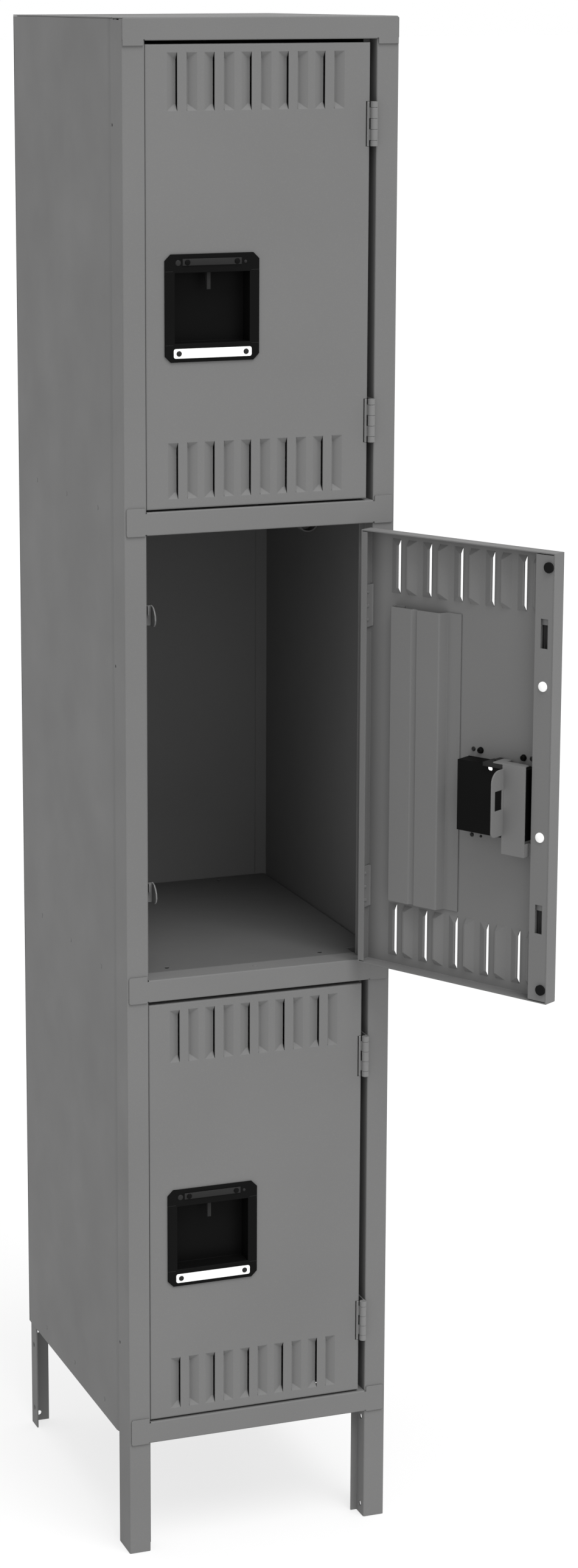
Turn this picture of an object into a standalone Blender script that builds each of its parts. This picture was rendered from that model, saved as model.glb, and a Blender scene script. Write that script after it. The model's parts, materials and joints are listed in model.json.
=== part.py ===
"""Three-tier steel school locker on legs: frame, body, louvred doors, latches and hinges."""
import math

import bmesh
import bpy
from mathutils import Vector

MM = 0.001

# Overall size in millimetres. Lengths below are measured from the front left corner of the
# frame at the floor: x to the right, y to the back, z up.
WIDTH, DEPTH, HEIGHT = 304.8, 381.0, 1676.4
ORIGIN_X, ORIGIN_Y = -200.2, -75.0      # where that corner lies in the part's own frame

GAP = 0.3                               # air between touching pieces
FRAME_T, BODY_T, DOOR_T = 1.5, 0.9, 1.2  # sheet thicknesses

# Front frame
UPRIGHT_FACE, UPRIGHT_SIDE, STOP_Y, STOP_W = 24.5, 35.5, 20.5, 7.0
PITCH, RAIL_H, RAIL_Z0 = 508.0, 24.6, 129.2
RAIL_DEPTH, HEADER_DEPTH = 26.0, 35.7
TAB_Y0, TAB_Y1 = -1.5, -0.3             # front faces of the rails, lapped over the uprights
HEADER_Z = RAIL_Z0 + 3 * PITCH          # underside of the header

# Doors, in the closed position
DOOR_X0, DOOR_X1, DOOR_D, DOOR_H, DOOR_GAP = 24.9, 272.8, 18.0, 477.6, 2.1
FOLD_R = 1.5                            # round of the folds along the door's four edges
HINGE_X, HINGE_Y, BARREL_R, PIN_R, BORE_R = 276.6, -2.5, 3.9, 1.5, 2.0
HINGE_Z, HINGE_H = 155.3, 46.0          # hinge centres either side of the door's middle
OPEN_DEG = 120.0                        # the middle door rests open

# Louvres: flat bars with a pressed ramp on each side
LOUVRE_X, LOUVRE_PITCH, LOUVRE_N = 60.0, 40.6, 5
BAR_W, RAMP_W, LIP_W, RAMP_D, RAMP_END, SLIT = 10.2, 11.4, 2.2, 4.4, 6.5, 0.4
BANKS = ((-228.2, -169.5), (171.7, 230.4))  # from the door's middle

# Latch channel, hooks and bar
CHANNEL_X, SLOT_X = 48.0, (32.0, 40.8)
HOOKS_Z, SLOT_H = (-149.5, 153.5), 31.0
LIFT = 10.0

# Recessed handle, from the door's middle
CUP_X, CUP_Z, CUP_D = (54.6, 140.4), (-67.6, 8.4), 21.0
PLATE_X, PLATE_Z, PLATE_CHAMFER = (45.2, 149.4), (-85.4, 26.2), 6.5

# Plate on the latch bar that is lifted, and the fin that stands out from its edge
LIFT_PLATE_X, FIN_D = (52.3, 81.2), 20.0

# Legs
LEG_SIDE, LEG_BACK, LEG_TOP = 21.8, 21.0, 150.0

MATERIALS = {
    "grey_paint": ((0.21, 0.21, 0.21), 0.0, 0.45),
    "interior_paint": ((0.19, 0.19, 0.19), 0.0, 0.5),
    "cup_black": ((0.012, 0.012, 0.014), 0.0, 0.4),
    "number_white": ((0.8, 0.8, 0.8), 0.0, 0.4),
    "hinge_steel": ((0.22, 0.22, 0.22), 0.3, 0.45),
    "latch_steel": ((0.24, 0.24, 0.24), 0.3, 0.45),
    "rubber_black": ((0.01, 0.01, 0.01), 0.0, 0.7),
}


# ------------------------------------------------------------------ geometry helpers
def new_mesh(bm, name):
    bmesh.ops.recalc_face_normals(bm, faces=bm.faces)
    mesh = bpy.data.meshes.new(name)
    bm.to_mesh(mesh)
    bm.free()
    return mesh


def box(x0, x1, y0, y1, z0, z1):
    return (x0, x1, y0, y1, z0, z1)


def blocks(steps):
    """Closed solid from boxes: each step is ("+", box) or ("-", box), in order."""
    cuts = [sorted({b[1][2 * a + s] for b in steps for s in (0, 1)}) for a in range(3)]
    nx, ny, nz = (len(c) - 1 for c in cuts)
    mid = [[(c[i] + c[i + 1]) / 2 for i in range(len(c) - 1)] for c in cuts]
    full = set()
    for i in range(nx):
        for j in range(ny):
            for k in range(nz):
                on = False
                for sign, b in steps:
                    if (b[0] < mid[0][i] < b[1] and b[2] < mid[1][j] < b[3]
                            and b[4] < mid[2][k] < b[5]):
                        on = sign == "+"
                if on:
                    full.add((i, j, k))
    bm, corner = bmesh.new(), {}

    def vert(key):
        if key not in corner:
            corner[key] = bm.verts.new([cuts[a][key[a]] for a in range(3)])
        return corner[key]

    for cell in full:
        for axis in range(3):
            u, v = (axis + 1) % 3, (axis + 2) % 3
            for side in (0, 1):
                other = list(cell)
                other[axis] += 2 * side - 1
                if tuple(other) in full:
                    continue
                ring = []
                for du, dv in ((0, 0), (1, 0), (1, 1), (0, 1)):
                    key = list(cell)
                    key[axis] += side
                    key[u] += du
                    key[v] += dv
                    ring.append(vert(tuple(key)))
                bm.faces.new(ring if side else ring[::-1])
    bmesh.ops.dissolve_limit(bm, angle_limit=0.001, verts=bm.verts, edges=bm.edges,
                             use_dissolve_boundaries=False)
    return bm


def prism(outline, axis, start, end, bm=None):
    """Extrude a closed 2-D outline along an axis. The outline lies in the other two axes."""
    bm = bm or bmesh.new()
    place = {0: lambda p, t: (t, p[0], p[1]), 1: lambda p, t: (p[0], t, p[1]),
             2: lambda p, t: (p[0], p[1], t)}[axis]
    low = [bm.verts.new(place(p, start)) for p in outline]
    high = [bm.verts.new(place(p, end)) for p in outline]
    bm.faces.new(low)
    bm.faces.new(high)
    for i in range(len(outline)):
        j = (i + 1) % len(outline)
        bm.faces.new((low[i], low[j], high[j], high[i]))
    return bm


def circle(cx, cy, radius, count=20):
    return [(cx + radius * math.cos(2 * math.pi * i / count),
             cy + radius * math.sin(2 * math.pi * i / count)) for i in range(count)]


def slot_outline(cx, cz, half, radius, count=8):
    """Oval with round ends, of half-width half and half-height radius."""
    return [(cx + s * (half - radius) + radius * math.cos(a), cz + radius * math.sin(a))
            for s, start in ((1, -90), (-1, 90))
            for a in [math.radians(start + 180 * i / count) for i in range(count + 1)]]


def strip(path, thick):
    """Outline of bent sheet: the path is one face, the other lies to its left."""
    points = [Vector(p) for p in path]
    dirs = [(b - a).normalized() for a, b in zip(points, points[1:])]
    norms = [Vector((-d.y, d.x)) for d in dirs]
    back = []
    for i, p in enumerate(points):
        if i == 0 or i == len(points) - 1:
            back.append(p + norms[min(i, len(norms) - 1)] * thick)
        else:
            n = norms[i - 1] + norms[i]
            back.append(p + n * (thick / n.dot(norms[i])))
    return [tuple(p) for p in points] + [tuple(p) for p in reversed(back)]


def mirror_x(outline):
    return [(WIDTH - x, y) for x, y in outline]


def several(shapes):
    """One mesh holding several closed shapes that stay apart, for cutters."""
    whole = bmesh.new()
    for part in shapes:
        bmesh.ops.recalc_face_normals(part, faces=part.faces)
        mesh = bpy.data.meshes.new("shape")
        part.to_mesh(mesh)
        part.free()
        whole.from_mesh(mesh)
        bpy.data.meshes.remove(mesh)
    return whole


# ------------------------------------------------------------------ scene helpers
for old in list(bpy.data.objects):
    bpy.data.objects.remove(old)

locker = bpy.data.collections.new("school_locker")
cutters = bpy.data.collections.new("cutters")
cutters.hide_render = True
for group in (locker, cutters):
    bpy.context.scene.collection.children.link(group)

materials = {}
for slot, (colour, metal, rough) in MATERIALS.items():
    mat = bpy.data.materials.new(slot)
    mat.use_nodes = True
    shader = mat.node_tree.nodes["Principled BSDF"]
    shader.inputs["Base Color"].default_value = (*colour, 1.0)
    shader.inputs["Metallic"].default_value = metal
    shader.inputs["Roughness"].default_value = rough
    materials[slot] = mat


def put(name, bm, origin, parent, group):
    """Object whose mesh was drawn in locker millimetres, with its origin at the given point."""
    for v in bm.verts:
        v.co = (v.co - Vector(origin)) * MM
    obj = bpy.data.objects.new(name, new_mesh(bm, name))
    group.objects.link(obj)
    at = Vector(origin)
    if parent:
        obj.parent = parent
        obj.location = (at - Vector(parent["axis"])) * MM
    else:
        obj.location = (at + Vector((ORIGIN_X, ORIGIN_Y, 0))) * MM
    return obj


def node(name, bm, slot, origin=None, parent=None):
    if origin is None:
        origin = tuple(parent["axis"]) if parent else (0.0, 0.0, 0.0)
    obj = put(name, bm, origin, parent, locker)
    obj.data.materials.append(materials[slot])
    obj["origin_mm"] = list(origin)
    return obj


def tool(obj, shape, operation, label):
    cutter = put(f"{label}_{obj.name}", shape, tuple(obj["origin_mm"]), obj.parent, cutters)
    cutter.hide_render = True
    cutter.display_type = "WIRE"
    mod = obj.modifiers.new(label, "BOOLEAN")
    mod.operation = operation
    mod.solver = "EXACT"
    mod.object = cutter


def cut(obj, *shapes, label="cut"):
    tool(obj, several(shapes), "DIFFERENCE", label)


def add(obj, shape, label="add"):
    tool(obj, several([shape]), "UNION", label)


def pivot(name, x, y, z, degrees):
    empty = bpy.data.objects.new(name, None)
    locker.objects.link(empty)
    empty.location = Vector((x + ORIGIN_X, y + ORIGIN_Y, z)) * MM
    empty.rotation_euler = (0.0, 0.0, math.radians(degrees))
    empty.empty_display_size = 0.02
    empty["axis"] = [x, y, z]
    return empty


def hole_x(y, z, radius, x0, x1, count=16):
    return prism(circle(y, z, radius, count), 0, x0, x1)


def hole_y(x, z, radius, y0, y1, count=16):
    return prism(circle(x, z, radius, count), 1, y0, y1)


def hole_z(x, y, radius, z0, z1, count=16):
    return prism(circle(x, y, radius, count), 2, z0, z1)


# ------------------------------------------------------------------ front frame
upright_top = HEIGHT - DOOR_T - GAP
upright = strip([(0, UPRIGHT_SIDE), (0, 0), (UPRIGHT_FACE, 0), (UPRIGHT_FACE, STOP_Y),
                 (UPRIGHT_FACE + STOP_W, STOP_Y)], FRAME_T)
for side, outline, x in (("left", upright, UPRIGHT_FACE),
                         ("right", mirror_x(upright), WIDTH - UPRIGHT_FACE)):
    obj = node(f"upright_{side}", prism(outline, 2, 0, upright_top), "grey_paint")
    wall = 0.0 if side == "left" else WIDTH
    cut(obj, *[hole_x(10.5, z, 3.2, x - 4, x + 4) for z in (12.2, 118.5)],
        blocks([("+", box(wall - 3, wall + 3, 8, 30, upright_top - 1.0, upright_top + 1))]),
        label="openings")

inner = (UPRIGHT_FACE + GAP, WIDTH - UPRIGHT_FACE - GAP)    # between the uprights
stops = (UPRIGHT_FACE + STOP_W + GAP, WIDTH - UPRIGHT_FACE - STOP_W - GAP)


def channel_depth(z0, z1, depth):
    """Rail flange reaching back between the uprights and then between their door stops."""
    front = box(*inner, TAB_Y0, STOP_Y - GAP, z0, z1)
    return [("+", front), ("+", box(*stops, TAB_Y0, depth, z0, z1))]


def corner_cuts(x0, x1, z0, z1, size):
    """Corner prisms that chamfer a plate in the x-z plane."""
    shapes = []
    for cx, sx in ((x0, 1), (x1, -1)):
        for cz, sz in ((z0, 1), (z1, -1)):
            tri = [(cx - sx * 3, cz - sz * 3), (cx + sx * size + sx * 3, cz - sz * 3),
                   (cx - sx * 3, cz + sz * size + sz * 3)]
            shapes.append(prism(tri, 1, TAB_Y0 - 2, TAB_Y1 + 0.2))
    return shapes


def rail(name, z0, edge):
    """Cross rail: a channel between the uprights with a taller tab lapped over each one."""
    z1 = z0 + RAIL_H
    steps = channel_depth(z1 - DOOR_T, z1, RAIL_DEPTH) + [
        ("+", box(*inner, TAB_Y0, STOP_Y - GAP, z0, z0 + DOOR_T)),
        ("+", box(*inner, TAB_Y0, TAB_Y1, z0, z1))]
    for x0, x1 in ((edge, UPRIGHT_FACE - 1.6), (WIDTH - UPRIGHT_FACE + 1.6, WIDTH - edge)):
        steps.append(("+", box(x0, x1, TAB_Y0, TAB_Y1, z0 - 0.4, z1 + 4.6)))
    steps.append(("+", box(edge, WIDTH - edge, TAB_Y0, TAB_Y1, z0 + 1.2, z1 - 1.2)))
    obj = node(name, blocks(steps), "grey_paint")
    cut(obj, *corner_cuts(edge, WIDTH - edge, z0 - 0.4, z1 + 4.6, 1.5), label="chamfers")
    return obj


for name, level in (("rail_bottom", 0), ("rail_lower", 1), ("rail_upper", 2)):
    rail(name, RAIL_Z0 + level * PITCH, 2.3)

header_steps = channel_depth(HEADER_Z, HEADER_Z + DOOR_T, STOP_Y - GAP)[:1] + [
    ("+", box(0.6, WIDTH - 0.6, TAB_Y0, TAB_Y1, HEADER_Z + 1.0, HEIGHT)),
    ("+", box(*inner, TAB_Y0, TAB_Y1, HEADER_Z, HEIGHT)),
    ("+", box(0.6, WIDTH - 0.6, TAB_Y0, HEADER_DEPTH, HEIGHT - DOOR_T, HEIGHT))]
for x0, x1 in ((0.9, UPRIGHT_FACE - 1.4), (WIDTH - UPRIGHT_FACE + 1.4, WIDTH - 0.9)):
    header_steps.append(("+", box(x0, x1, TAB_Y0, TAB_Y1, HEADER_Z - 5.2, HEADER_Z + 2)))
header = node("header", blocks(header_steps), "grey_paint")
cut(header, *[prism([(x - s * 2, HEIGHT - 4), (x + s * 4.6, HEIGHT + 2.6), (x - s * 2, HEIGHT + 2.6)],
                    1, TAB_Y0 - 1, HEADER_DEPTH + 1)
              for x, s in ((0.6, 1), (WIDTH - 0.6, -1))], label="chamfers")

# ------------------------------------------------------------------ body
skin_x = GAP                                            # outer face of a side panel
side_outline = strip([(15, DEPTH - 1.2), (skin_x, DEPTH - 1.2), (skin_x, 45), (1.8, 39), (1.8, 22)],
                     BODY_T)
for side, outline in (("left", side_outline), ("right", mirror_x(side_outline))):
    node(f"side_{side}", prism(outline, 2, RAIL_Z0, upright_top), "grey_paint")

node("back_panel", blocks([("+", box(0.3, WIDTH - 0.3, DEPTH - BODY_T, DEPTH, RAIL_Z0,
                                     upright_top))]), "grey_paint")

top_in = 3.3
node("top_panel", blocks([
    ("+", box(0.3, WIDTH - 0.3, HEADER_DEPTH + GAP, DEPTH, HEIGHT - DOOR_T, HEIGHT)),
    ("+", box(top_in, WIDTH - top_in, HEADER_DEPTH + GAP, DEPTH - 4, HEIGHT - 14, HEIGHT)),
    ("-", box(top_in + BODY_T, WIDTH - top_in - BODY_T, HEADER_DEPTH, DEPTH - 4 - BODY_T,
              HEIGHT - 15, HEIGHT - DOOR_T))]), "grey_paint")


def pan(name, top, skirt, y1):
    """Shelf: a flat sheet behind the rail with a skirt turned down on all four sides."""
    x0, x1, y0 = 3.3, WIDTH - 3.3, RAIL_DEPTH + GAP
    steps = [("+", box(x0, x1, y0 + 20, y1, top - skirt, top)),
             ("+", box(*stops, y0, y1, top - skirt, top)),
             ("-", box(x0 + BODY_T, x1 - BODY_T, y0 + 20 + BODY_T, y1 - BODY_T,
                       top - skirt - 1, top - BODY_T)),
             ("-", box(stops[0] + BODY_T, stops[1] - BODY_T, y0 + BODY_T, y0 + 30,
                       top - skirt - 1, top - BODY_T))]
    obj = node(name, blocks(steps), "interior_paint")
    cut(obj, *[hole_z(x, y, 2.6, top - 3, top + 2) for x, y in ((59, 39), (238, 39), (238, 364))],
        label="shelf_holes")
    return obj


floor_z = [RAIL_Z0 + RAIL_H + i * PITCH for i in range(3)]
pan("base_pan", floor_z[0], 21.0, 376.8)
pan("shelf_lower", floor_z[1], 13.0, 378.5)
pan("shelf_upper", floor_z[2], 13.0, 378.5)

leg_x, leg_y = 1.5, DEPTH - 2.4
leg = strip([(leg_x + LEG_BACK, leg_y), (leg_x, leg_y), (leg_x, leg_y - LEG_SIDE)], FRAME_T)
for side, outline, s in (("left", leg, 0), ("right", mirror_x(leg), 1)):
    obj = node(f"rear_leg_{side}", prism(outline, 2, 0, LEG_TOP), "grey_paint")
    hx = WIDTH - 10.0 if s else 10.0
    wall = WIDTH - 2.2 if s else 2.2
    cut(obj, *[hole_y(hx, z, 3.1, leg_y - 4, leg_y + 3) for z in (9.5, 116.0)],
        *[hole_x(leg_y - 11, z, 3.1, wall - 4, wall + 4) for z in (22.0, 103.0)],
        label="leg_holes")


# ------------------------------------------------------------------ hooks on the frame
def frame_hook(name, z):
    """Strike: a rounded tongue that enters the door's slot, on a plate behind the door stop."""
    x0, x1, y0, y1 = 36.5, 38.0, STOP_Y + FRAME_T + GAP, STOP_Y + FRAME_T + GAP + FRAME_T
    nose = [(y1, -11.0), (14.0, -11.0), (10.2, -8.4), (8.6, -4.0), (9.4, 1.3), (12.0, 5.5),
            (16.0, 9.3), (y0, 11.0), (y1, 11.0)]
    tongue = prism([(y, z + dz) for y, dz in nose], 0, x0, x1)
    obj = node(name, tongue, "latch_steel", origin=(37.2, y0, z))
    add(obj, prism([(26.0, z - 10.7), (37.0, z - 10.7), (37.0, z + 10.7), (26.0, z + 10.7)], 1,
                   y0 + 0.1, y1 - 0.1), "plate")
    add(obj, prism([(32.2, z + 0.9), (33.6, z + 0.9), (33.6, z + 10.4), (32.2, z + 10.4)], 1,
                   STOP_Y - 1.6, y1 - 0.5), "rib")
    return obj


def wall_hook(name, floor):
    """Coat hook on the right wall: a flat strip with a round bend at the bottom."""
    x0, zc, r = WIDTH - skin_x - BODY_T - GAP, floor + 453.0, 12.5
    path = [(x0, zc + 34)]
    path += [(x0 - r + r * math.cos(a), zc + r * math.sin(a))
             for a in [-math.pi * i / 10 for i in range(11)]]
    path += [(x0 - 2 * r - 1.0, zc + 10)]
    return node(name, prism(strip(path, -1.8), 1, 213, 225), "latch_steel")


# ------------------------------------------------------------------ doors
def louvred_skin(zm):
    """Front sheet of a door as flat faces, with every ramp, bar and slit edge."""
    faces, lines = [], []
    for i in range(LOUVRE_N):
        left = LOUVRE_X + i * LOUVRE_PITCH
        right = left + BAR_W
        lines.append((left - RAMP_W, left - SLIT, left, right, right + SLIT, right + RAMP_W))
    edge_x = [DOOR_X0] + [x for row in lines for x in row] + [DOOR_X1]
    bottom, top = zm - DOOR_H / 2, zm + DOOR_H / 2
    below = [(DOOR_X0, bottom), (DOOR_X1, bottom)]
    for low, high in BANKS:
        z0, z1 = zm + low, zm + high
        row = [(x, z0) for x in edge_x]
        faces.append([(x, 0, z) for x, z in below + row[::-1]])
        below = [(x, z1) for x in edge_x]
        flats = [DOOR_X0] + [x for r in lines for x in (r[0], r[5])] + [DOOR_X1]
        for a, b in zip(flats[0::2], flats[1::2]):
            faces.append([(a, 0, z0), (b, 0, z0), (b, 0, z1), (a, 0, z1)])
        for r in lines:
            faces.append([(r[2], 0, z0), (r[3], 0, z0), (r[3], 0, z1), (r[2], 0, z1)])
            for a, c, s in ((r[0], r[1], -1), (r[5], r[4], 1)):
                b, e0, e1, n = c + s * LIP_W, z0 + RAMP_END, z1 - RAMP_END, RAMP_D
                faces.append([(a, 0, z0), (a, 0, z1), (b, n, e1), (b, n, e0)])
                faces.append([(b, n, e0), (b, n, e1), (c, n, e1), (c, n, e0)])
                faces.append([(a, 0, z1), (c, 0, z1), (c, n, e1), (b, n, e1)])
                faces.append([(a, 0, z0), (c, 0, z0), (c, n, e0), (b, n, e0)])
    faces.append([(x, 0, z) for x, z in below + [(DOOR_X1, top), (DOOR_X0, top)]])
    return faces, (bottom, top)


def door_pan(zm):
    """Thicken the sheet and turn its four edges back to make a closed tray."""
    faces, (bottom, top) = louvred_skin(zm)
    bm, made = bmesh.new(), {}

    def vert(x, y, z):
        key = (round(x, 4), round(y, 4), round(z, 4))
        if key not in made:
            made[key] = bm.verts.new(key)
        return made[key]

    def inset(p, y, depth=DOOR_T):
        x = min(max(p[0], DOOR_X0 + depth), DOOR_X1 - depth)
        z = min(max(p[2], bottom + depth), top - depth)
        return vert(x, y, z)

    def on_edge(a, b):
        return any(abs(a[i] - v) < 1e-6 and abs(b[i] - v) < 1e-6
                   for i, v in ((0, DOOR_X0), (0, DOOR_X1), (2, bottom), (2, top)))

    count = {}
    for face in faces:
        bm.faces.new([inset(p, p[1], FOLD_R) for p in face])
        bm.faces.new([inset(p, p[1] + DOOR_T, FOLD_R) for p in face])
        for a, b in zip(face, face[1:] + face[:1]):
            count.setdefault(frozenset((a, b)), []).append((a, b))
    for pairs in count.values():
        if len(pairs) > 1:
            continue
        a, b = pairs[0]
        if on_edge(a, b):
            da, db = vert(a[0], DOOR_D, a[2]), vert(b[0], DOOR_D, b[2])
            ia, ib = inset(a, DOOR_D), inset(b, DOOR_D)
            rows = [(inset(a, y, d), inset(b, y, d))
                    for d, y in ((FOLD_R, 0), (FOLD_R * 0.29, FOLD_R * 0.29), (0, FOLD_R))]
            rows += [(da, db), (ia, ib), (inset(a, DOOR_T + 0.3), inset(b, DOOR_T + 0.3)),
                     (inset(a, DOOR_T, FOLD_R), inset(b, DOOR_T, FOLD_R))]
            for (p, q), (r, t) in zip(rows, rows[1:]):
                bm.faces.new((p, q, t, r))
        else:
            bm.faces.new((inset(a, a[1], FOLD_R), inset(b, b[1], FOLD_R),
                          inset(b, b[1] + DOOR_T, FOLD_R), inset(a, a[1] + DOOR_T, FOLD_R)))
    return bm


def hinge_parts(prefix, z, door):
    """Five-knuckle butt hinge: the pin and three knuckles on the frame, two on the door."""
    half = HINGE_H / 2
    fixed = ((-half, -17.1), (-5.5, 5.5), (17.1, half))
    swung = ((-16.8, -5.8), (5.8, 16.8))
    leaf_x = (WIDTH - UPRIGHT_FACE - GAP - 1.5, WIDTH - UPRIGHT_FACE - GAP)
    steps = [("+", box(*leaf_x, 1.9, STOP_Y - 1.0, z - half, z + half))]
    steps += [("+", box(*leaf_x, HINGE_Y, 2.0, z + a, z + b)) for a, b in fixed]
    frame_leaf = node(f"{prefix}_frame_leaf", blocks(steps), "hinge_steel",
                      origin=(HINGE_X, HINGE_Y, z))
    for i, (a, b) in enumerate(fixed):
        add(frame_leaf, hole_z(HINGE_X, HINGE_Y, BARREL_R, z + a, z + b), f"knuckle{i}")
    add(frame_leaf, hole_z(HINGE_X, HINGE_Y, PIN_R, z - half + 1, z + half - 1, 12), "pin")

    plate_y = BARREL_R + HINGE_Y                         # back of the barrel
    leaf_x = (DOOR_X1 - DOOR_T - GAP - 1.5, DOOR_X1 - DOOR_T - GAP)
    steps = [("+", box(*leaf_x, plate_y - 1.4, 15.0, z - half, z + half)),
             ("+", box(leaf_x[0], HINGE_X - BARREL_R - 0.5, plate_y - 1.5, plate_y - 0.1,
                       z - half, z + half))]
    steps += [("+", box(leaf_x[0], HINGE_X, plate_y - 1.5, plate_y - 0.1, z + a, z + b))
              for a, b in swung]
    leaf = node(f"{prefix}_door_leaf", blocks(steps), "hinge_steel",
                origin=(HINGE_X, HINGE_Y, z), parent=door)
    for i, (a, b) in enumerate(swung):
        add(leaf, hole_z(HINGE_X, HINGE_Y, BARREL_R, z + a, z + b), f"knuckle{i}")
    cut(leaf, hole_z(HINGE_X, HINGE_Y, BORE_R, z - half - 1, z + half + 1, 16), label="bore")


def handle_cup(name, zm, door):
    """Recessed pull: a thin face plate with a box behind it that pokes through the door."""
    x0, x1 = CUP_X
    z0, z1 = zm + CUP_Z[0], zm + CUP_Z[1]
    t = 1.5
    steps = [("+", box(*PLATE_X, TAB_Y0, TAB_Y1, zm + PLATE_Z[0], zm + PLATE_Z[1])),
             ("+", box(x0, x1, TAB_Y0, CUP_D, z0, z1)),
             ("-", box(x0 + t, x1 - t, TAB_Y0 - 1, CUP_D - t, z0 + t, z1 - t)),
             ("-", box(92.4, 98.6, 3.0, 15.5, z1 - t - 1, z1 + 1))]
    cup = node(name, blocks(steps), "cup_black", parent=door)
    cut(cup, *corner_cuts(*PLATE_X, zm + PLATE_Z[0], zm + PLATE_Z[1], PLATE_CHAMFER),
        hole_z(85.5, 10.0, 4.2, z1 - 4, z1 + 2),
        prism(slot_outline(98.8, zm + 4.4, 3.2, 2.3), 1, CUP_D - 4, CUP_D + 1), label="openings")
    return cup


def corner_wedge(y, z, radius, up, x0, x1):
    """What is cut off a flange's corner at y, z to round it."""
    arc = [(y - radius + radius * math.sin(math.pi / 12 * i),
            z + up * (radius * math.cos(math.pi / 12 * i) - radius)) for i in range(7)]
    outer = [(y + 2, arc[-1][1]), (y + 2, z + up * 2), (arc[0][0], z + up * 2)]
    return prism(arc + outer, 0, x0 - 1, x1 + 1)


def latch_bar(name, zm, door):
    """Bar sliding in the channel, with windows for the hooks and the plate that lifts it."""
    y0, y1 = 13.0, 14.5
    steps = [("+", box(30.5, 44.5, y0, y1, zm - 205, zm + 205))]
    for z in HOOKS_Z:
        steps.append(("-", box(33.0, 41.5, y0 - 1, y1 + 1, zm + z - 12.5 - LIFT - 2.0,
                               zm + z + 9.7)))
    back0, back1 = CUP_D + 1.2, CUP_D + 2.7
    side0, side1 = LIFT_PLATE_X[1] - 1.5, LIFT_PLATE_X[1]
    fin_y, fin_z = back1 + FIN_D, (zm - 64.0, zm + 7.0)
    steps += [("+", box(44.0, 53.8, y0, y1, zm - 84, zm - 70)),
              ("+", box(52.3, 53.8, y0, back1, zm - 84, zm - 70)),
              ("+", box(*LIFT_PLATE_X, back0, back1, zm - 84, zm + 13)),
              ("+", box(side0, side1, back0, fin_y, *fin_z)),
              ("-", box(side0 - 1, side1 + 1, back1 + 1.0, fin_y - 5.5, zm - 36.2, zm - 14.8)),
              ("+", box(55.0, 93.0, 12.6, back1, zm + 11.5, zm + 13)),
              ("+", box(83.0, 98.0, 4.0, 14.0, zm + 11.5, zm + 13))]
    bar = node(name, blocks(steps), "latch_steel", origin=(37.5, y0, zm), parent=door)
    add(bar, prism([(4.4, zm + 12.4), (4.4, zm - 11), (6.0, zm - 11), (12.6, zm - 1),
                    (13.4, zm + 12.4)], 0, 93.7, 97.3), "finger_tab")
    cut(bar, corner_wedge(fin_y, fin_z[1], 13.0, 1, side0, side1),
        corner_wedge(fin_y, fin_z[0], 5.5, -1, side0, side1), label="corners")
    return bar


def stiffener(name, zm, door):
    """Hat section spot-welded to the hinge half of the door, with a groove down its face."""
    low, high, foot = 13.0, 10.5, DOOR_T + GAP + DOOR_T
    path = [(226.0, foot - DOOR_T), (238.4, foot - DOOR_T), (237.0, low), (209.8, low),
            (208.0, high), (204.0, high), (202.2, low), (172.8, low), (168.8, foot), (151.5, foot)]
    return node(name, prism(strip(path, DOOR_T), 2, zm - 164, zm + 159), "grey_paint",
                parent=door)


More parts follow.
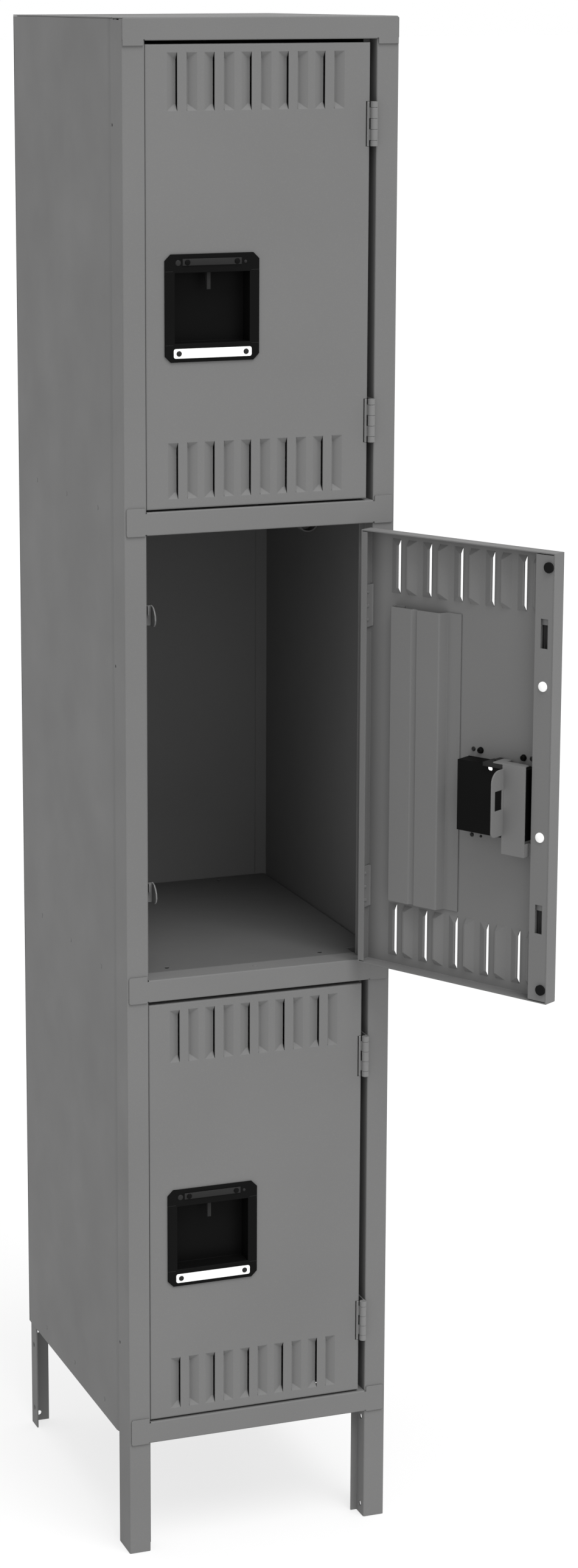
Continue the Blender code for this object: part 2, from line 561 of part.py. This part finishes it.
def door(tier, level, degrees):
    zb = floor_z[level] + DOOR_GAP
    zm = zb + DOOR_H / 2
    zt = zb + DOOR_H
    hinge = pivot(f"door_{tier}_hinge", HINGE_X, HINGE_Y, zm, degrees)
    panel = node(f"door_{tier}_pan", door_pan(zm), "grey_paint", parent=hinge)
    back = DOOR_D - 0.2
    inner_z = (zb + 2.2, zt - 2.2)
    add(panel, blocks([("+", box(265.2, DOOR_X1 - 0.6, back - DOOR_T, back, *inner_z))]), "lip")
    add(panel, blocks([("+", box(DOOR_X0 + 0.6, CHANNEL_X, back - DOOR_T, back, *inner_z)),
                       ("+", box(CHANNEL_X - DOOR_T, CHANNEL_X, 2.2, back, *inner_z))]), "channel")
    shapes = [blocks([("+", box(268.4, DOOR_X1 + 1, -1, 3.6, zm + s * HINGE_Z - HINGE_H / 2 - GAP,
                                zm + s * HINGE_Z + HINGE_H / 2 + GAP))]) for s in (-1, 1)]
    shapes += [blocks([("+", box(*SLOT_X, back - 2, back + 1, zm + z + 1 - SLOT_H / 2,
                                 zm + z + 1 + SLOT_H / 2))]) for z in HOOKS_Z]
    shapes.append(blocks([("+", box(CUP_X[0] - GAP, CUP_X[1] + GAP, -1, DOOR_T + 1,
                                    zm + CUP_Z[0] - GAP, zm + CUP_Z[1] + GAP))]))
    shapes.append(blocks([("+", box(CHANNEL_X - 2, CHANNEL_X + 1, 11.5, 15.8,
                                    zm - 86, zm - 70 + LIFT + 2))]))
    cut(panel, *shapes, label="openings")
    stiffener(f"door_{tier}_stiffener", zm, hinge)
    handle_cup(f"door_{tier}_handle_cup", zm, hinge)
    node(f"door_{tier}_number_plate",
         prism([(x, z) for cx, cz, a0 in ((138.7, zm - 79.3, -90), (138.7, zm - 73.3, 0),
                                          (56.6, zm - 73.3, 90), (56.6, zm - 79.3, 180))
                for x, z in [(cx + 2 * math.cos(math.radians(a0 + a)),
                              cz + 2 * math.sin(math.radians(a0 + a))) for a in (0, 45, 90)]],
               1, TAB_Y0 - GAP - 0.8, TAB_Y0 - GAP), "number_white", parent=hinge)
    latch_bar(f"door_{tier}_latch_bar", zm, hinge)
    for where, s in (("bottom", -1), ("top", 1)):
        node(f"door_{tier}_bumper_{where}",
             hole_y(31.4, zm + s * 224.0, 5.6, back + GAP, STOP_Y - GAP, 24), "rubber_black",
             parent=hinge)
        hinge_parts(f"hinge_{tier}_{where}", zm + s * HINGE_Z, hinge)
        frame_hook(f"frame_hook_{tier}_{where}", zm + HOOKS_Z[0 if s < 0 else 1])
    wall_hook(f"coat_hook_{tier}", floor_z[level])


for tier, level, degrees in (("bottom", 0, 0.0), ("middle", 1, OPEN_DEG), ("top", 2, 0.0)):
    door(tier, level, degrees)
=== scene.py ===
"""Looks of the three-tier school locker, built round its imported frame."""
import json
import math

import bmesh
import bpy
from mathutils import Matrix, Vector

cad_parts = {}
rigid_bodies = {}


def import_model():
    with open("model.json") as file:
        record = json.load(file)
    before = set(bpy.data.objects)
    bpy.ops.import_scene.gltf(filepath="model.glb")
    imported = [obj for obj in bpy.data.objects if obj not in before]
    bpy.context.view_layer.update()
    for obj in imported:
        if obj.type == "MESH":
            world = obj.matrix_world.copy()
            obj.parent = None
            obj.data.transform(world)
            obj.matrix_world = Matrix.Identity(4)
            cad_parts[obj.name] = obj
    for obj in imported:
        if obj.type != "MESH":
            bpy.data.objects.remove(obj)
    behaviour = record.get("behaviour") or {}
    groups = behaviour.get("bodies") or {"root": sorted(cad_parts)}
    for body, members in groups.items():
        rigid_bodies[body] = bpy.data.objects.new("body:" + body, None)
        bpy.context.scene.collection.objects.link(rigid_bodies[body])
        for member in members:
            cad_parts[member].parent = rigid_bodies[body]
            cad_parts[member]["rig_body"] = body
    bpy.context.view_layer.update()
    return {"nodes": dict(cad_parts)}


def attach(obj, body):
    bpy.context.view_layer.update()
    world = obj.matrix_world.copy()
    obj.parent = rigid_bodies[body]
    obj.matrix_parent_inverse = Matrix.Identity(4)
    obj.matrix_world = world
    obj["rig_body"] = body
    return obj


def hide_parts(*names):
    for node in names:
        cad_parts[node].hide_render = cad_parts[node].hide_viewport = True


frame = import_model()
nodes = frame["nodes"]

MM = 0.001
WIDTH, DEPTH = 304.8, 381.0                      # locker, in millimetres
ORIGIN = Vector((-200.2, -75.0, 0.0))            # its front left corner, in millimetres
HINGE_X, HINGE_Y = 276.6, -2.5                   # the doors' common hinge axis
DOOR_MID = {"bottom": 394.7, "middle": 902.7, "top": 1410.7}
OPEN_DEG = {"bottom": 0.0, "middle": 120.0, "top": 0.0}
TIERS = ("bottom", "middle", "top")

# ------------------------------------------------------------------ places
# From the locker's millimetres, counted from its front left corner, to the part's metres.
LOCKER = Matrix.Scale(MM, 4) @ Matrix.Translation(ORIGIN)


def door_place(tier):
    """From a closed door's millimetres, heights taken from its middle, to the part's metres."""
    axis = Vector((HINGE_X, HINGE_Y, 0.0))
    turn = Matrix.Rotation(math.radians(OPEN_DEG[tier]), 4, "Z")
    return (LOCKER @ Matrix.Translation((0, 0, DOOR_MID[tier])) @ Matrix.Translation(axis)
            @ turn @ Matrix.Translation(-axis))


# ------------------------------------------------------------------ materials
def new_material(name, rough, specular):
    mat = bpy.data.materials.new(name)
    mat.use_nodes = True
    shader = mat.node_tree.nodes["Principled BSDF"]
    shader.inputs["Roughness"].default_value = rough
    shader.inputs["Specular IOR Level"].default_value = specular
    return mat, shader


def add_node(mat, kind, **values):
    """New shader node, with each value set on the socket or property of that name."""
    n = mat.node_tree.nodes.new(kind)
    for key, value in values.items():
        if key in n.inputs:
            n.inputs[key].default_value = value
        else:
            setattr(n, key, value)
    return n


def wire(mat, source, target):
    mat.node_tree.links.new(source, target)


def noise(mat, scale, detail=3.0, stretch=None):
    """Noise fixed to the object, as a socket from 0 to 1."""
    coords = add_node(mat, "ShaderNodeTexCoord").outputs["Object"]
    if stretch:
        mapping = add_node(mat, "ShaderNodeMapping", Scale=stretch)
        wire(mat, coords, mapping.inputs["Vector"])
        coords = mapping.outputs["Vector"]
    tex = add_node(mat, "ShaderNodeTexNoise", Scale=scale, Detail=detail)
    wire(mat, coords, tex.inputs["Vector"])
    return tex.outputs["Fac"]


def ramp(mat, source, low, high, at=(0.3, 0.7)):
    """Spread the part of a socket's range given by at over low to high."""
    m = add_node(mat, "ShaderNodeMapRange")
    for key, value in zip(("From Min", "From Max", "To Min", "To Max"), (*at, low, high)):
        m.inputs[key].default_value = value
    wire(mat, source, m.inputs["Value"])
    return m.outputs["Result"]


def mix(mat, factor, a, b):
    """Blend two colours, each a tuple or a socket, by a socket."""
    m = add_node(mat, "ShaderNodeMix", data_type="RGBA")
    wire(mat, factor, m.inputs["Factor"])
    for key, value in ((6, a), (7, b)):          # the node's two colour sockets
        if isinstance(value, tuple):
            m.inputs[key].default_value = (*value, 1.0)
        else:
            wire(mat, value, m.inputs[key])
    return m.outputs[2]


def grey(level):
    """Grey with the faintest trace of warmth."""
    return (level, level, level * 0.995)


EDGE_RADIUS = 0.0009                             # of the shaded rounding of every edge
PEEL_SCALE, PEEL_DEPTH = 520.0, 0.0004


def coated(name, level, rough, peel=0.12, patch=0.05, edge_wear_and_highlight=0.10, specular=0.42, speck=0.06,
           smear=0.10):
    """Coated surface: orange peel, faint patches and smears, specks, and lighter edges, part
    rubbed wear and part painted highlight.
    """
    mat, shader = new_material(name, rough, specular)
    base = mix(mat, ramp(mat, noise(mat, 5.0), 0.0, 1.0), grey(level * (1 - patch)),
               grey(level * (1 + patch)))
    fine = ramp(mat, noise(mat, 900.0, 1.0), 0.0, speck, (0.56, 0.74))
    base = mix(mat, fine, base, grey(level * 1.9))
    smears = noise(mat, 9.0, 6.0, (1.0, 1.0, 0.22))
    base = mix(mat, ramp(mat, smears, 0.0, smear, (0.52, 0.78)), base, grey(level * 1.35))
    round_edge = add_node(mat, "ShaderNodeBevel", samples=4, Radius=EDGE_RADIUS)
    flat = add_node(mat, "ShaderNodeNewGeometry")
    dot = add_node(mat, "ShaderNodeVectorMath", operation="DOT_PRODUCT")
    wire(mat, round_edge.outputs["Normal"], dot.inputs[0])
    wire(mat, flat.outputs["Normal"], dot.inputs[1])
    # lighter near every edge: part rubbed wear, part painted highlight along the folds
    base = mix(mat, ramp(mat, dot.outputs["Value"], edge_wear_and_highlight, 0.0, (0.80, 0.985)), base,
               grey(min(1.0, level * 2.2)))
    wire(mat, base, shader.inputs["Base Color"])
    wire(mat, ramp(mat, noise(mat, 14.0, 5.0), rough - 0.07, rough + 0.09),
         shader.inputs["Roughness"])
    bump = add_node(mat, "ShaderNodeBump", Strength=peel, Distance=PEEL_DEPTH)
    wire(mat, noise(mat, PEEL_SCALE, 2.0), bump.inputs["Height"])
    wire(mat, round_edge.outputs["Normal"], bump.inputs["Normal"])
    wire(mat, bump.outputs["Normal"], shader.inputs["Normal"])
    return mat


paint = coated("grey_powder_coat", 0.146, 0.55, patch=0.03, specular=0.04, smear=0.04)
# the grey paint again, made darker for the compartment floors and shelves: painted shade
shaded_floor_paint = coated("grey_powder_coat_painted_shade", 0.100, 0.55, patch=0.03, specular=0.04, smear=0.04)
black = coated("black_plastic", 0.0033, 0.45, peel=0.08, patch=0.15, specular=0.05)
white = coated("white_number_plate", 0.86, 0.38, peel=0.03, patch=0.015, edge_wear_and_highlight=0.0, speck=0.0)
steel = coated("painted_hinge", 0.160, 0.46, peel=0.06, edge_wear_and_highlight=0.25, specular=0.16)
latch = coated("latch_bar_finish", 0.138, 0.48, peel=0.06, edge_wear_and_highlight=0.22, specular=0.16)
rubber = coated("black_rubber", 0.005, 0.75, peel=0.2, specular=0.1)
strip_grey = coated("dark_grey_plastic", 0.019, 0.42, peel=0.06, specular=0.08)
dark_steel = coated("blackened_steel", 0.013, 0.38, peel=0.05, edge_wear_and_highlight=0.3, specular=0.15)
nylon = coated("white_nylon", 0.90, 0.34, peel=0.04, patch=0.015, edge_wear_and_highlight=0.0, speck=0.0)

SLOT_MATERIAL = {"grey_paint": paint, "interior_paint": shaded_floor_paint, "cup_black": black,
                 "number_white": white, "hinge_steel": steel, "latch_steel": latch,
                 "rubber_black": rubber}
for obj in nodes.values():
    for slot in obj.material_slots:
        slot.material = SLOT_MATERIAL[slot.material.name.split(".")[0]]

# ------------------------------------------------------------------ mesh helpers
SMOOTH_BELOW = math.radians(35)                  # edges that bend more are drawn sharp
SHARP_CORNER = 0.6                               # radians; a slab's edges above it are rounded
SUNK = 0.05                                      # how far a flat detail reaches into its base
HEAD_SUNK = 0.1                                  # the same, for a rivet or screw head


def piece(name, bm, place, material, body):
    """A detail drawn in millimetres, put in place and riding on a body."""
    bm.transform(place)
    bmesh.ops.recalc_face_normals(bm, faces=bm.faces)
    finish_piece(name, bm, material, body)


def finish_piece(name, bm, material, body):
    """Object from a mesh in metres, riding on a body."""
    for face in bm.faces:
        face.smooth = True
    for edge in bm.edges:
        edge.smooth = edge.calc_face_angle(0.0) < SMOOTH_BELOW
    mesh = bpy.data.meshes.new(name)
    bm.to_mesh(mesh)
    bm.free()
    mesh.materials.append(material)
    obj = bpy.data.objects.new(name, mesh)
    bpy.context.scene.collection.objects.link(obj)
    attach(obj, body)
    return obj


AXES = {"-y": Matrix.Rotation(math.pi / 2, 3, "X"), "+y": Matrix.Rotation(-math.pi / 2, 3, "X"),
        "-x": Matrix.Rotation(-math.pi / 2, 3, "Y"), "+x": Matrix.Rotation(math.pi / 2, 3, "Y"),
        "+z": Matrix.Identity(3)}


def lathe(bm, at, towards, profile, count=24):
    """Turn a profile of (radius, height) round a line that leaves a surface at a point."""
    rings = []
    for radius, height in profile:
        turns = [2 * math.pi * i / count for i in range(count if radius else 1)]
        rings.append([bm.verts.new(Vector(at) + AXES[towards] @ Vector((
            radius * math.cos(turn), radius * math.sin(turn), height))) for turn in turns])
    for low, high in zip(rings, rings[1:]):
        for i in range(count):
            j = (i + 1) % count
            ring = [low[i % len(low)], low[j % len(low)], high[j % len(high)], high[i % len(high)]]
            ring = list(dict.fromkeys(ring))
            if len(ring) > 2:
                bm.faces.new(ring)


def dome(r, h):
    """Low rivet head."""
    return [(0.0, -HEAD_SUNK), (r, -HEAD_SUNK), (r, h * 0.2), (r * 0.93, h * 0.52),
            (r * 0.74, h * 0.82), (r * 0.42, h * 0.97), (0.0, h)]


def button(r, h):
    """Flat-topped button with a rounded rim."""
    return [(0.0, -HEAD_SUNK), (r, -HEAD_SUNK), (r, h * 0.45), (r * 0.96, h * 0.8),
            (r * 0.86, h), (0.0, h)]


def screw(r, h):
    """Pan head on a small washer, with a dimple in the middle."""
    washer = r * 1.15
    return [(0.0, -HEAD_SUNK), (washer, -HEAD_SUNK), (washer, 0.5), (r, 0.6), (r, h * 0.7),
            (r * 0.9, h * 0.93), (r * 0.7, h), (r * 0.34, h), (r * 0.28, h * 0.72),
            (0.0, h * 0.7)]


def many(points, towards, profile, count=24):
    """Mesh with the same turned profile at each point."""
    bm = bmesh.new()
    for at in points:
        lathe(bm, at, towards, profile, count)
    return bm


def slab(bm, outline, axis, start, end, edge=0.0):
    """Extrude an outline along X or Y, then round its edges."""
    place = {"X": lambda p, t: (t, p[0], p[1]), "Y": lambda p, t: (p[0], t, p[1])}[axis]
    low = [bm.verts.new(place(p, start)) for p in outline]
    high = [bm.verts.new(place(p, end)) for p in outline]
    made = [bm.faces.new(low), bm.faces.new(high)]
    for i in range(len(outline)):
        j = (i + 1) % len(outline)
        made.append(bm.faces.new((low[i], low[j], high[j], high[i])))
    bmesh.ops.recalc_face_normals(bm, faces=made)
    if edge:
        edges = dict.fromkeys(e for f in made for e in f.edges)
        sharp = [e for e in edges if e.calc_face_angle(0.0) > SHARP_CORNER]
        bmesh.ops.bevel(bm, geom=sharp, offset=edge, segments=2, profile=0.5, affect="EDGES",
                        clamp_overlap=True)


def rectangle(x0, x1, z0, z1):
    return [(x0, z0), (x1, z0), (x1, z1), (x0, z1)]


# ------------------------------------------------------------------ rounded sheet metal
# Each fold: convex or not, radius, steps round it, and the narrowest face that can take it.
FOLDS = ((True, 0.0013, 3, 0.0035), (False, 0.00035, 2, 0.0022))
FOLD_ANGLE, SHORTEST_FOLD = math.radians(28), 0.004
SAME_POINT, MERGE_AFTER, NO_WIDTH = 1e-7, 1e-5, 1e-6
SAME_PLANE = math.radians(0.5)


def width_at(face, edge):
    """Width of a face straight across from the middle of one of its edges."""
    side = next(c for c in face.loops if c.edge == edge)
    start, end = side.vert.co, side.link_loop_next.vert.co
    along = (end - start).normalized()
    inward, middle = face.normal.cross(along), (start + end) / 2
    widths = []
    for other in face.loops:
        a, b = other.vert.co - middle, other.link_loop_next.vert.co - middle
        before, after = a.dot(along), b.dot(along)
        if other.edge != edge and before * after <= 0 and before != after:
            reach = a.lerp(b, before / (before - after)).dot(inward)
            if reach > NO_WIDTH:
                widths.append(reach)
    return min(widths, default=0.0)


def rounded(name):
    """Replace a sheet-metal node by a copy with its folds rounded outside and inside."""
    node = nodes[name]
    bm = bmesh.new()
    bm.from_mesh(node.data)
    bmesh.ops.remove_doubles(bm, verts=bm.verts, dist=SAME_POINT)
    bmesh.ops.dissolve_limit(bm, angle_limit=SAME_PLANE, verts=bm.verts, edges=bm.edges)
    for convex, radius, steps, narrowest in FOLDS:
        bm.normal_update()
        folds = [e for e in bm.edges
                 if len(e.link_faces) == 2 and e.calc_face_angle(0.0) > FOLD_ANGLE
                 and e.is_convex == convex and e.calc_length() > SHORTEST_FOLD
                 and min(width_at(f, e) for f in e.link_faces) > narrowest]
        bmesh.ops.bevel(bm, geom=folds, offset=radius, segments=steps, profile=0.5,
                        affect="EDGES", clamp_overlap=False)
    bmesh.ops.remove_doubles(bm, verts=bm.verts, dist=MERGE_AFTER)
    material = node.material_slots[0].material
    obj = finish_piece(f"{name}_folded", bm, material, node["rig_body"])
    even = obj.modifiers.new("even_normals", "WEIGHTED_NORMAL")
    even.keep_sharp = True
    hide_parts(name)


for name in ("upright_left", "upright_right", "header", "rail_bottom", "rail_lower", "rail_upper",
             "side_left", "side_right", "top_panel", "rear_leg_left", "rear_leg_right",
             "base_pan", "shelf_lower", "shelf_upper"):
    rounded(name)
for tier in TIERS:
    rounded(f"door_{tier}_stiffener")

# ------------------------------------------------------------------ door details
# In a closed door's millimetres: y grows into the locker and z counts from the door's middle.
CUP_FACE, NUMBER_FACE = -1.5, -2.6               # fronts of the cup's rim and the number plate
SKIN_INSIDE = 1.2                                # back of the door's sheet
NUMBER_RIVET_X, NUMBER_RIVET_Z = (60.4, 134.5), -76.3
STRIP = (64.5, 129.7, 14.3, 21.3)                # strip on the cup's upper rim
STRIP_FACE = CUP_FACE - 0.9
CUP_SCREW_X, CUP_RIVET_X = (69.9, 124.7), (59.9, 134.1)
STRIP_RIVET_Z, RIVET_END_Z, CUP_SCREW_Z, RIVET_TAIL_Z = 17.6, (17.2, 17.0), 16.8, 17.0
SPARE_TAIL_X = 122.8                             # third rivet tail of the lower row
MOULD_LINE_X, MOULD_LINE_Z = ((45.6, 54.4), (140.6, 149.0)), (8.4, -67.6)
MOULD_LINE_HALF, MOULD_LINE_HEIGHT = 0.2, 0.15
GLIDE_X, GLIDE_Y, GLIDE_Z = 36.5, 17.8, (99.4, -60.5)
HINGE_RIVET_X, HINGE_RIVET_Y = 269.8, 9.4
HINGE_MID_Z, HINGE_RIVET_DZ = (-155.3, 155.3), (-15.0, 0.0, 15.0)
# Finger pull: outlines in (y, z), then the stretch of x that each one fills.
PULL_BAR = [(3.6, 8.9), (22.0, 8.9), (22.0, 6.6), (23.6, 6.6), (23.6, 11.1), (3.6, 11.1)]
PULL_WEB = [(4.1, 9.6), (4.1, -11.3), (6.1, -11.3), (12.9, -1.1), (13.7, 9.6)]
PULL_CAP = [(3.7, 11.0), (14.3, 11.0), (14.3, 13.5), (3.7, 13.5)]
PULL = ((PULL_BAR, 81.7, 106.5), (PULL_WEB, 93.4, 97.6), (PULL_CAP, 93.3, 98.4))
PULL_EDGE, STRIP_EDGE = 0.3, 0.25

for tier in TIERS:
    place, body = door_place(tier), f"door_{tier}"
    piece(f"{tier}_number_plate_rivets",
          many([(x, NUMBER_FACE, NUMBER_RIVET_Z) for x in NUMBER_RIVET_X], "-y", dome(2.9, 1.1)),
          place, dark_steel, body)
    strip = bmesh.new()
    slab(strip, rectangle(*STRIP), "Y", STRIP_FACE, CUP_FACE + SUNK, STRIP_EDGE)
    piece(f"{tier}_cup_strip", strip, place, strip_grey, body)
    piece(f"{tier}_cup_strip_rivets",
          many([(x, STRIP_FACE, STRIP_RIVET_Z) for x in CUP_SCREW_X], "-y", dome(3.0, 1.0)),
          place, black, body)
    ends = bmesh.new()
    for x, z, head in zip(CUP_RIVET_X, RIVET_END_Z, (dome(3.1, 0.7), dome(1.7, 0.6))):
        lathe(ends, (x, CUP_FACE, z), "-y", head)
    piece(f"{tier}_cup_rivet_ends", ends, place, strip_grey, body)
    lines = bmesh.new()
    for z in MOULD_LINE_Z:
        for x0, x1 in MOULD_LINE_X:
            slab(lines, rectangle(x0, x1, z - MOULD_LINE_HALF, z + MOULD_LINE_HALF), "Y",
                 CUP_FACE - MOULD_LINE_HEIGHT, CUP_FACE + SUNK)
    piece(f"{tier}_cup_mould_lines", lines, place, strip_grey, body)
    piece(f"{tier}_cup_screws",
          many([(x, SKIN_INSIDE, CUP_SCREW_Z) for x in CUP_SCREW_X], "+y", screw(3.1, 3.4), 18),
          place, black, body)
    tails = many([(x, SKIN_INSIDE, RIVET_TAIL_Z) for x in CUP_RIVET_X], "+y", screw(2.1, 1.4), 16)
    for x, radius in ((NUMBER_RIVET_X[0], 2.0), (SPARE_TAIL_X, 1.2), (NUMBER_RIVET_X[1], 2.0)):
        lathe(tails, (x, SKIN_INSIDE, NUMBER_RIVET_Z), "+y", screw(radius, 1.4), 16)
    piece(f"{tier}_cup_rivet_tails", tails, place, dark_steel, body)
    piece(f"{tier}_latch_glides",
          many([(GLIDE_X, GLIDE_Y, z) for z in GLIDE_Z], "+y", button(5.35, 1.5), 32),
          place, nylon, body)
    piece(f"{tier}_hinge_rivets",
          many([(HINGE_RIVET_X, HINGE_RIVET_Y, middle + dz)
                for middle in HINGE_MID_Z for dz in HINGE_RIVET_DZ], "-x", dome(2.1, 0.9), 18),
          place, steel, body)
    pull = bmesh.new()
    for outline, x0, x1 in PULL:
        slab(pull, outline, "X", x0, x1, PULL_EDGE)
    piece(f"{tier}_finger_pull", pull, place, strip_grey, f"latch_{tier}")

# ------------------------------------------------------------------ frame details
# In the locker's millimetres.
FLOORS = (153.8, 661.8, 1169.8)                  # tops of the three compartment floors
HOOK_PLATE_X = 301.5                             # faces of the coat hooks' plates
WALL_INSET = 0.3                                 # side panels, in from the frame's sides
HOOK_Y, HOOK_RIVET_Z = 219.0, (467.0, 479.0)     # heights above the floor
RAIL_RIVET_X, RAIL_RIVET_Y = 152.0, 13.8
FRAME_RIVET_Y, FRAME_RIVET_Z = 31.6, (239.0, 1002.0, 1568.0)
SEAM_INSET = 9.0                                 # back panel's rivets, in from its sides
SEAM_RIVET_Z = [190.0 + i * 180.0 for i in range(9)]
BELOW_FLOOR = 6.5                                # rivets into the floors' flanges
BACK_RIVET_X, SIDE_RIVET_Y = (60.0, WIDTH / 2, 244.8), (90.0, 200.0, 310.0)
FLAT_HEAD = dome(2.6, 0.45)

coat_hook_rivets = many([(HOOK_PLATE_X, HOOK_Y, floor_z + z) for floor_z in FLOORS
                          for z in HOOK_RIVET_Z], "-x", dome(2.6, 1.0), 20)
piece("coat_hook_rivets", coat_hook_rivets, LOCKER, latch, "cabinet")
rail_rivets = many([(RAIL_RIVET_X, RAIL_RIVET_Y, z) for z in FLOORS], "+z", dome(2.6, 0.5), 20)
piece("rail_rivets", rail_rivets, LOCKER, paint, "cabinet")
frame_rivets = bmesh.new()
for x, towards in ((0.0, "-x"), (WIDTH, "+x")):
    for z in FRAME_RIVET_Z:
        lathe(frame_rivets, (x, FRAME_RIVET_Y, z), towards, dome(1.7, 0.3), 16)
piece("frame_side_rivets", frame_rivets, LOCKER, dark_steel, "cabinet")
body_rivets = bmesh.new()
for z in SEAM_RIVET_Z:
    for x in (SEAM_INSET, WIDTH - SEAM_INSET):
        lathe(body_rivets, (x, DEPTH, z), "+y", FLAT_HEAD, 18)
for floor_z in FLOORS:
    for x in BACK_RIVET_X:
        lathe(body_rivets, (x, DEPTH, floor_z - BELOW_FLOOR), "+y", FLAT_HEAD, 18)
    for y in SIDE_RIVET_Y:
        lathe(body_rivets, (WALL_INSET, y, floor_z - BELOW_FLOOR), "-x", FLAT_HEAD, 18)
        lathe(body_rivets, (WIDTH - WALL_INSET, y, floor_z - BELOW_FLOOR), "+x", FLAT_HEAD, 18)
    for z in HOOK_RIVET_Z:
        lathe(body_rivets, (WIDTH - WALL_INSET, HOOK_Y, floor_z + z), "+x", FLAT_HEAD, 18)
piece("body_rivets", body_rivets, LOCKER, paint, "cabinet")

# ------------------------------------------------------------------ stage
FLOOR_SIZE, FLOOR_DROP = 200.0, 0.0005           # the floor lies just under the feet
floor_mat, floor_shader = new_material("pale_floor", 0.9, 0.1)
tint = mix(floor_mat, ramp(floor_mat, noise(floor_mat, 0.4), 0.0, 1.0), (0.19, 0.19, 0.19),
           (0.21, 0.21, 0.21))
wire(floor_mat, tint, floor_shader.inputs["Base Color"])
floor_shader.inputs["Emission Color"].default_value = (1, 1, 1, 1)
floor_shader.inputs["Emission Strength"].default_value = 0.72      # like a lit table
bpy.ops.mesh.primitive_plane_add(size=FLOOR_SIZE, location=(0, 0, -FLOOR_DROP))
floor = bpy.context.object
floor.name = "studio_floor"
floor.data.materials.append(floor_mat)

world = bpy.data.worlds.new("studio")
bpy.context.scene.world = world
world.use_nodes = True
backdrop = world.node_tree.nodes["Background"]
backdrop.inputs["Color"].default_value = (1, 1, 1, 1)
backdrop.inputs["Strength"].default_value = 1.0

# Name, strength, spread in degrees, and the way the light travels.
LAMPS = (("key", 2.35, 35.0, (-0.08, 0.46, -0.88)), ("fill", 0.30, 60.0, (-0.2, 0.97, -0.20)))
for name, energy, spread, direction in LAMPS:
    lamp = bpy.data.lights.new(name, "SUN")
    lamp.energy = energy
    lamp.angle = math.radians(spread)
    holder = bpy.data.objects.new(name, lamp)
    bpy.context.scene.collection.objects.link(holder)
    holder.rotation_mode = "QUATERNION"
    holder.rotation_quaternion = Vector(direction).to_track_quat("-Z", "Y")

# ------------------------------------------------------------------ camera
SENSOR, LENS, SHIFT = 36.0, 77.4922, (0.076242, -0.05163)
PITCH, ROLL, YAW = -0.2099, 0.0031, -0.33506       # radians
EYE = Vector((-1099.3, -3299.4, 1709.2))           # in the locker's millimetres
camera = bpy.data.cameras.new("camera")
camera.sensor_width = SENSOR
camera.lens = LENS
camera.shift_x, camera.shift_y = SHIFT
camera.clip_start, camera.clip_end = 0.05, 400.0
view = bpy.data.objects.new("camera", camera)
bpy.context.scene.collection.objects.link(view)
turn = (Matrix.Rotation(YAW, 3, "Z") @ Matrix.Rotation(PITCH, 3, "X")
        @ Matrix.Rotation(ROLL, 3, "Y"))
right, ahead, up = (turn.col[i] for i in range(3))
view.matrix_world = Matrix.Translation((EYE + ORIGIN) * MM) @ Matrix(
    (right, up, -ahead)).transposed().to_4x4()
bpy.context.scene.camera = view
bpy.context.scene.view_settings.view_transform = "Standard"
